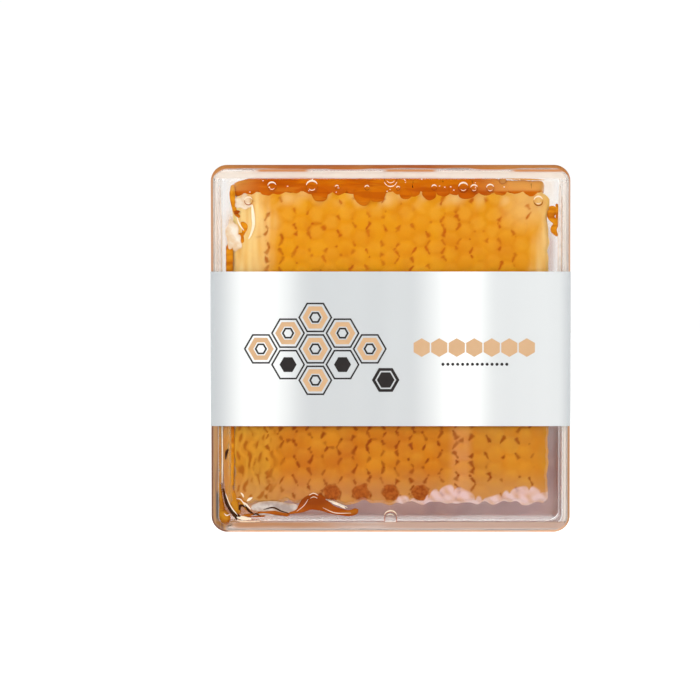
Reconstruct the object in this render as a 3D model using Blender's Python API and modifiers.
"""Packed honeycomb piece: a knife-cut square of capped comb in a clear two-part box.

The box stands on its lower edge with its lid towards -Y. Loose honey lies in the gap
above the comb and in the lower left corner, and a foil sleeve runs round the middle.
Units are metres, +Z is up, and the origin is the middle of the box's resting edge.
"""

import math

import bmesh
import bpy
from mathutils import Matrix, Vector

# Driving dimensions of the box.
BOX_WIDTH = 0.110
BOX_HEIGHT = 0.1125
BOX_DEPTH = 0.028
WALL = 0.0013
CORNER_RADIUS = 0.0050
LID_EDGE_RADIUS = 0.0018
BASE_EDGE_RADIUS = 0.0034
LID_DEPTH = 0.0115
GAP = 0.0003

# The base's inner lip, which reaches forward inside the lid.
LIP_THICKNESS = 0.0010
LIP_FRONT_CLEARANCE = 0.0010
SHOULDER_DEPTH = 0.0016
BOSS_RADIUS = 0.0019
BOSS_CENTRE_INSET = 0.0031

# The comb: a square cut from a frame, lying a little off the middle of the box.
CELL_ACROSS_FLATS = 0.0052
COMB_CENTRE_X = -0.00045
COMB_HALF_WIDTH = 0.04815
COMB_BOTTOM = 0.0082
COMB_HEIGHT = 0.0964
CAP_RISE = 0.0005
OPEN_CELL_DROP = 0.0009
OPEN_COLUMNS = (-4, -2, 0, 2)
TROUGH_DEPTH = 0.0012
TROUGH_MARGIN = 0.0016
TROUGH_HALF_SHARE = 0.41
TROUGH_SHIFT_SHARE = 0.25
MIDRIB = 0.0016

# The sleeve.
SLEEVE_HEIGHT = 0.0472
SLEEVE_THICKNESS = 0.00025

# Loose honey.
HONEY_BEVEL = 0.0008
TOP_HONEY_SIDE_INSET = 0.0040
TOP_HONEY_DEPTH = 0.0190
LOW_HONEY_REACH_X = 0.0420
LOW_HONEY_REACH_Z = 0.0160
LOW_HONEY_DEPTH = 0.0150

# How finely round places are cut.
CORNER_STEPS = 6
LID_EDGE_STEPS = 2
BASE_EDGE_STEPS = 3
SLEEVE_STEPS = 3
BOSS_SIDES = 16
TROUGH_SIDES = 6
SMOOTH_ANGLE = 35
SOFT_EDGE_ANGLE = 40
SAME_PLACE = 1e-6

FRONT = -BOX_DEPTH / 2
BACK = BOX_DEPTH / 2
SEAM = FRONT + LID_DEPTH
LIP_OUTSIDE = WALL + GAP
LIP_INSIDE = LIP_OUTSIDE + LIP_THICKNESS
COMB_FRONT = FRONT + WALL + GAP
COMB_BACK = BACK - WALL - GAP
COMB_TOP = COMB_BOTTOM + COMB_HEIGHT
COMB_LEFT = COMB_CENTRE_X - COMB_HALF_WIDTH
COMB_RIGHT = COMB_CENTRE_X + COMB_HALF_WIDTH
CELL_RADIUS = CELL_ACROSS_FLATS / math.sqrt(3)
COLUMN_PITCH = 1.5 * CELL_RADIUS

CLEAR = ("clear_plastic", (0.93, 0.94, 0.94), 0.04, 0.0, 1.0)
WAX = ("honeycomb", (0.86, 0.50, 0.09), 0.38, 0.0, 0.0)
HONEY = ("honey", (0.80, 0.33, 0.02), 0.08, 0.0, 0.35)
FOIL = ("foil_sleeve", (0.84, 0.86, 0.87), 0.32, 0.55, 0.0)


def clear_scene():
    for old in list(bpy.data.objects):
        bpy.data.objects.remove(old, do_unlink=True)


def make_collection(name):
    made = bpy.data.collections.new(name)
    bpy.context.scene.collection.children.link(made)
    return made


def make_material(name, colour, roughness, metallic, transmission):
    made = bpy.data.materials.get(name)
    if made:
        return made
    made = bpy.data.materials.new(name)
    made.use_nodes = True
    shader = made.node_tree.nodes["Principled BSDF"]
    shader.inputs["Base Color"].default_value = (*colour, 1.0)
    shader.inputs["Roughness"].default_value = roughness
    shader.inputs["Metallic"].default_value = metallic
    shader.inputs["Transmission Weight"].default_value = transmission
    return made


def make_object(name, cage, look, collection):
    """Turns a bmesh into a named object with one material."""
    mesh = bpy.data.meshes.new(name)
    bmesh.ops.recalc_face_normals(cage, faces=cage.faces)
    cage.to_mesh(mesh)
    cage.free()
    made = bpy.data.objects.new(name, mesh)
    made.data.materials.append(make_material(*look))
    collection.objects.link(made)
    return made


def make_helper(name, cage, look, collection):
    """An object that only feeds a Boolean, so it isn't a part of the pack."""
    made = make_object(name, cage, look, collection)
    made.hide_render = True
    made.display_type = "WIRE"
    return made


def combine(target, helper, operation):
    modifier = target.modifiers.new(f"{operation} {helper.name}", "BOOLEAN")
    modifier.operation = operation
    modifier.object = helper


def add_solidify(target, thickness, offset):
    modifier = target.modifiers.new("Wall", "SOLIDIFY")
    modifier.thickness = thickness
    modifier.offset = offset
    modifier.use_even_offset = True


def block(low, high):
    """A bmesh box between two corners."""
    cage = bmesh.new()
    size = [b - a for a, b in zip(low, high)]
    middle = [(a + b) / 2 for a, b in zip(low, high)]
    place = Matrix.Translation(middle) @ Matrix.Diagonal((*size, 1.0))
    bmesh.ops.create_cube(cage, size=1.0, matrix=place)
    return cage


def edges_along(cage, axis):
    """The edges that run along one axis."""
    found = []
    for edge in cage.edges:
        run = edge.verts[1].co - edge.verts[0].co
        if abs(run[axis]) > 0.99 * run.length:
            found.append(edge)
    return found


def round_edges(cage, edges, radius, steps):
    bmesh.ops.bevel(
        cage,
        geom=edges,
        offset=radius,
        segments=steps,
        profile=0.5,
        affect="EDGES",
        clamp_overlap=True,
    )


def faces_at(cage, axis, value):
    return [f for f in cage.faces if all(abs(v.co[axis] - value) < SAME_PLACE for v in f.verts)]


def remove_faces(cage, faces):
    bmesh.ops.delete(cage, geom=faces, context="FACES")


def outline_ring(cage, inset, y):
    """Vertices round the box's outline at depth y, drawn in by inset on all four edges."""
    radius = CORNER_RADIUS - inset
    reach_x = BOX_WIDTH / 2 - CORNER_RADIUS
    reach_z = BOX_HEIGHT / 2 - CORNER_RADIUS
    ring = []
    for quarter, (side_x, side_z) in enumerate(((1, 1), (-1, 1), (-1, -1), (1, -1))):
        for step in range(CORNER_STEPS + 1):
            turn = math.radians(90 * (quarter + step / CORNER_STEPS))
            x = side_x * reach_x + radius * math.cos(turn)
            z = side_z * reach_z + radius * math.sin(turn) + BOX_HEIGHT / 2
            ring.append(cage.verts.new((x, y, z)))
    return ring


def tray(name, section, collection):
    """A tray whose wall has the given section, as (inset, y) from outer to inner floor."""
    cage = bmesh.new()
    rings = [outline_ring(cage, inset, y) for inset, y in section]
    for outer, inner in zip(rings, rings[1:]):
        for k in range(len(outer)):
            cage.faces.new((outer[k - 1], outer[k], inner[k], inner[k - 1]))
    cage.faces.new(rings[0])
    cage.faces.new(rings[-1])
    return make_object(name, cage, CLEAR, collection)


def rounded_edge(radius, centre_inset, centre_y, toward, steps):
    """Section points on a quarter round, from the floor (toward is its Y side) to the wall."""
    points = []
    for step in range(steps + 1):
        turn = math.radians(90 * step / steps)
        inset = centre_inset - radius * math.sin(turn)
        points.append((inset, centre_y + toward * radius * math.cos(turn)))
    return points


def boss_cage(side, margin):
    """A half-round boss on the lip, at the middle of the top (1) or bottom (-1) edge."""
    edge = BOX_HEIGHT if side > 0 else 0.0
    centre_z = edge - side * BOSS_CENTRE_INSET
    flat_z = edge - side * (LIP_OUTSIDE + LIP_THICKNESS / 2 - margin)
    y_low = FRONT + WALL + LIP_FRONT_CLEARANCE + GAP - margin
    y_high = SEAM + margin
    turn = Matrix.Rotation(math.pi / 2, 4, "X")
    place = Matrix.Translation((0.0, (y_low + y_high) / 2, centre_z)) @ turn
    radius = BOSS_RADIUS + margin
    cage = bmesh.new()
    bmesh.ops.create_cone(
        cage,
        cap_ends=True,
        segments=BOSS_SIDES,
        radius1=radius,
        radius2=radius,
        depth=y_high - y_low,
        matrix=place,
    )
    bmesh.ops.bisect_plane(
        cage,
        geom=cage.verts[:] + cage.edges[:] + cage.faces[:],
        plane_co=(0.0, 0.0, flat_z),
        plane_no=(0.0, 0.0, side),
        clear_outer=True,
    )
    open_edges = [e for e in cage.edges if e.is_boundary]
    bmesh.ops.contextual_create(cage, geom=open_edges)
    return cage


def make_lid(pack):
    """The front tray: a plain wall with a small rounded edge round its face."""
    rim = SEAM - GAP / 2
    centre = (LID_EDGE_RADIUS, FRONT + LID_EDGE_RADIUS)
    outer = rounded_edge(LID_EDGE_RADIUS, *centre, -1, LID_EDGE_STEPS)
    inner = rounded_edge(LID_EDGE_RADIUS - WALL, *centre, -1, 1)
    return tray("box_lid", outer + [(0.0, rim), (WALL, rim)] + inner[::-1], pack)


def make_base(pack, helpers):
    """The rear tray, with a lip that reaches inside the lid and a boss on it at each end."""
    rim = SEAM + GAP / 2
    lip_front = FRONT + WALL + LIP_FRONT_CLEARANCE
    shoulder = rim + SHOULDER_DEPTH
    centre = (BASE_EDGE_RADIUS, BACK - BASE_EDGE_RADIUS)
    outer = rounded_edge(BASE_EDGE_RADIUS, *centre, 1, BASE_EDGE_STEPS)
    inner = rounded_edge(BASE_EDGE_RADIUS - WALL, *centre, 1, BASE_EDGE_STEPS)
    lip = [
        (0.0, rim),
        (LIP_OUTSIDE, rim),
        (LIP_OUTSIDE, lip_front),
        (LIP_INSIDE, lip_front),
        (LIP_INSIDE, shoulder),
        (WALL, shoulder),
    ]
    base = tray("box_base", outer + lip + inner[::-1], pack)
    for side, word in ((1, "top"), (-1, "bottom")):
        boss = make_helper(f"boss_{word}", boss_cage(side, 0.0), CLEAR, helpers)
        combine(base, boss, "UNION")
    return base


def cell_centres(shift):
    """Column number and centre (x, z) of each cell near the comb, in upright columns."""
    middle_z = COMB_BOTTOM + COMB_HEIGHT / 2
    columns = math.ceil((COMB_HALF_WIDTH + COMB_CENTRE_X) / COLUMN_PITCH) + 1
    rows = math.ceil(COMB_HEIGHT / 2 / CELL_ACROSS_FLATS) + 1
    for column in range(-columns, columns + 1):
        stagger = 0.5 * (column % 2) + shift
        for row in range(-rows, rows + 1):
            z = middle_z + (row + stagger) * CELL_ACROSS_FLATS
            yield column, column * COLUMN_PITCH, z


def hexagon(x, z):
    turns = [math.radians(60 * k) for k in range(6)]
    return [(x + CELL_RADIUS * math.cos(t), z + CELL_RADIUS * math.sin(t)) for t in turns]


def clip(points, axis, limit, keep):
    """The part of a convex outline where keep * coordinate <= keep * limit."""
    kept = []
    for a, b in zip(points, points[1:] + points[:1]):
        inside_a = keep * a[axis] <= keep * limit
        inside_b = keep * b[axis] <= keep * limit
        if inside_a:
            kept.append(a)
        if inside_a != inside_b:
            t = (limit - a[axis]) / (b[axis] - a[axis])
            cut = [a[k] + t * (b[k] - a[k]) for k in (0, 1)]
            cut[axis] = limit
            kept.append(tuple(cut))
    return kept


def outline_area(points):
    pairs = zip(points, points[1:] + points[:1])
    return abs(sum(a[0] * b[1] - b[0] * a[1] for a, b in pairs)) / 2


def clip_to_comb(outline):
    for axis, limit, keep in (
        (0, COMB_RIGHT, 1),
        (0, COMB_LEFT, -1),
        (1, COMB_TOP, 1),
        (1, COMB_BOTTOM, -1),
    ):
        outline = clip(outline, axis, limit, keep) if outline else outline
    return outline


def is_open(column, z):
    """True for the uncapped cells in the lowest row of the front face."""
    low = COMB_BOTTOM + CELL_ACROSS_FLATS / 2
    return column in OPEN_COLUMNS and low < z < low + CELL_ACROSS_FLATS


def cap_sheet(cage, y_valley, outward, shift):
    """One face of the comb: a low dome over each capped cell, a dip in each open one."""
    whole = outline_area(hexagon(0.0, 0.0))
    for column, x, z in cell_centres(shift):
        outline = clip_to_comb(hexagon(x, z))
        if len(outline) < 3:
            continue
        rise = CAP_RISE * outline_area(outline) / whole
        if outward < 0 and is_open(column, z):
            rise = -OPEN_CELL_DROP
        rim = [cage.verts.new((px, y_valley, pz)) for px, pz in outline]
        middle = sum((v.co for v in rim), Vector()) / len(rim)
        peak = cage.verts.new(middle + Vector((0.0, outward * rise, 0.0)))
        for a, b in zip(rim, rim[1:] + rim[:1]):
            cage.faces.new((a, b, peak))


def comb_cage():
    """Both capped faces, joined along the knife cuts by flat sides."""
    cage = bmesh.new()
    cap_sheet(cage, COMB_FRONT + CAP_RISE, -1, 0.5)
    cap_sheet(cage, COMB_BACK - CAP_RISE, 1, 0.0)
    bmesh.ops.remove_doubles(cage, verts=cage.verts, dist=SAME_PLACE)
    for axis, value in ((0, COMB_LEFT), (0, COMB_RIGHT), (2, COMB_BOTTOM), (2, COMB_TOP)):
        other = 2 - axis
        rim = {
            v
            for e in cage.edges
            if e.is_boundary
            for v in e.verts
            if abs(v.co[axis] - value) < SAME_PLACE
        }
        front = sorted((v for v in rim if v.co.y < 0), key=lambda v: v.co[other])
        back = sorted((v for v in rim if v.co.y > 0), key=lambda v: -v.co[other])
        cage.faces.new(front + back)
    return cage


def trough_cage():
    """Half-round troughs where the knife went through the outer cells, in two layers."""
    cage = bmesh.new()
    layers = (
        (COMB_FRONT + TROUGH_MARGIN, -MIDRIB / 2, 0.0),
        (MIDRIB / 2, COMB_BACK - TROUGH_MARGIN, 0.5),
    )
    turn = Matrix.Rotation(math.pi / 2, 4, "X")
    middle_z = (COMB_BOTTOM + COMB_TOP) / 2
    rows = int(COMB_HEIGHT / 2 / CELL_ACROSS_FLATS) - 1
    columns = int(COMB_HALF_WIDTH / COLUMN_PITCH) - 1
    for y_low, y_high, shift in layers:
        places = []
        for row in range(-rows, rows + 1):
            z = middle_z + (row + shift - TROUGH_SHIFT_SHARE) * CELL_ACROSS_FLATS
            for x in (COMB_LEFT, COMB_RIGHT):
                places.append((x, z, TROUGH_DEPTH, TROUGH_HALF_SHARE * CELL_ACROSS_FLATS))
        for column in range(-columns, columns + 1):
            x = (column + shift - TROUGH_SHIFT_SHARE) * COLUMN_PITCH
            for z in (COMB_BOTTOM, COMB_TOP):
                places.append((x, z, TROUGH_HALF_SHARE * COLUMN_PITCH, TROUGH_DEPTH))
        for x, z, half_x, half_z in places:
            stretch = Matrix.Diagonal((half_x, 1.0, half_z, 1.0))
            place = Matrix.Translation((x, (y_low + y_high) / 2, z)) @ stretch @ turn
            bmesh.ops.create_cone(
                cage,
                cap_ends=True,
                segments=TROUGH_SIDES,
                radius1=1.0,
                radius2=1.0,
                depth=y_high - y_low,
                matrix=place,
            )
    return cage


def make_comb(pack, helpers):
    comb = make_object("comb", comb_cage(), WAX, pack)
    combine(comb, make_helper("troughs", trough_cage(), WAX, helpers), "DIFFERENCE")
    return comb


def soft_block(low, high):
    cage = block(low, high)
    round_edges(cage, cage.edges[:], HONEY_BEVEL, 1)
    return cage


def make_top_honey(pack, helpers):
    """Honey caught between the comb's upper cut and the box, clear of the top boss."""
    side = LIP_INSIDE + TOP_HONEY_SIDE_INSET
    low = (side - BOX_WIDTH / 2, COMB_FRONT, COMB_TOP + GAP)
    high = (BOX_WIDTH / 2 - side, COMB_FRONT + TOP_HONEY_DEPTH, BOX_HEIGHT - LIP_INSIDE - GAP)
    honey = make_object("honey_top", soft_block(low, high), HONEY, pack)
    recess = make_helper("boss_recess", boss_cage(1, GAP), HONEY, helpers)
    combine(honey, recess, "DIFFERENCE")
    return honey


def make_low_honey(pack, helpers):
    """Honey that has run round the comb's lower left corner: an L beside and under it."""
    left = LIP_INSIDE + GAP - BOX_WIDTH / 2
    floor = LIP_INSIDE + GAP
    back = COMB_FRONT + LOW_HONEY_DEPTH
    right = left + LOW_HONEY_REACH_X
    top = floor + LOW_HONEY_REACH_Z
    pool = block((left, COMB_FRONT, floor), (right, back, top))
    corner = [
        e
        for e in edges_along(pool, 1)
        if e.verts[0].co.x < left + SAME_PLACE and e.verts[0].co.z < floor + SAME_PLACE
    ]
    round_edges(pool, corner, CORNER_RADIUS - LIP_INSIDE, CORNER_STEPS)
    honey = make_object("honey_low", pool, HONEY, pack)
    room = block(
        (COMB_LEFT - GAP, COMB_FRONT - WALL, COMB_BOTTOM - GAP),
        (right + WALL, back + WALL, top + WALL),
    )
    combine(honey, make_helper("comb_room", room, HONEY, helpers), "DIFFERENCE")
    soften = honey.modifiers.new("Soft edges", "BEVEL")
    soften.width = HONEY_BEVEL / 2
    soften.limit_method = "ANGLE"
    soften.angle_limit = math.radians(SOFT_EDGE_ANGLE)
    return honey


def make_sleeve(pack):
    """A closed band of foil round the middle of the box."""
    half_x = BOX_WIDTH / 2 + GAP
    half_y = BOX_DEPTH / 2 + GAP
    low = (BOX_HEIGHT - SLEEVE_HEIGHT) / 2
    high = low + SLEEVE_HEIGHT
    cage = block((-half_x, -half_y, low), (half_x, half_y, high))
    for y_side, radius in ((-1, LID_EDGE_RADIUS), (1, BASE_EDGE_RADIUS)):
        pair = [e for e in edges_along(cage, 2) if y_side * e.verts[0].co.y > half_y / 2]
        round_edges(cage, pair, radius + GAP, SLEEVE_STEPS)
    remove_faces(cage, faces_at(cage, 2, low) + faces_at(cage, 2, high))
    sleeve = make_object("sleeve", cage, FOIL, pack)
    add_solidify(sleeve, SLEEVE_THICKNESS, 1.0)
    return sleeve


def shade(pieces):
    """Smooth shading on what is round, with crisp edges kept."""
    for piece in pieces:
        piece.data.shade_smooth()
        piece.data.set_sharp_from_angle(angle=math.radians(SMOOTH_ANGLE))


def main():
    clear_scene()
    pack = make_collection("packed_honeycomb")
    helpers = make_collection("helpers")
    made = [
        make_lid(pack),
        make_base(pack, helpers),
        make_comb(pack, helpers),
        make_top_honey(pack, helpers),
        make_low_honey(pack, helpers),
        make_sleeve(pack),
    ]
    shade(made)


main()
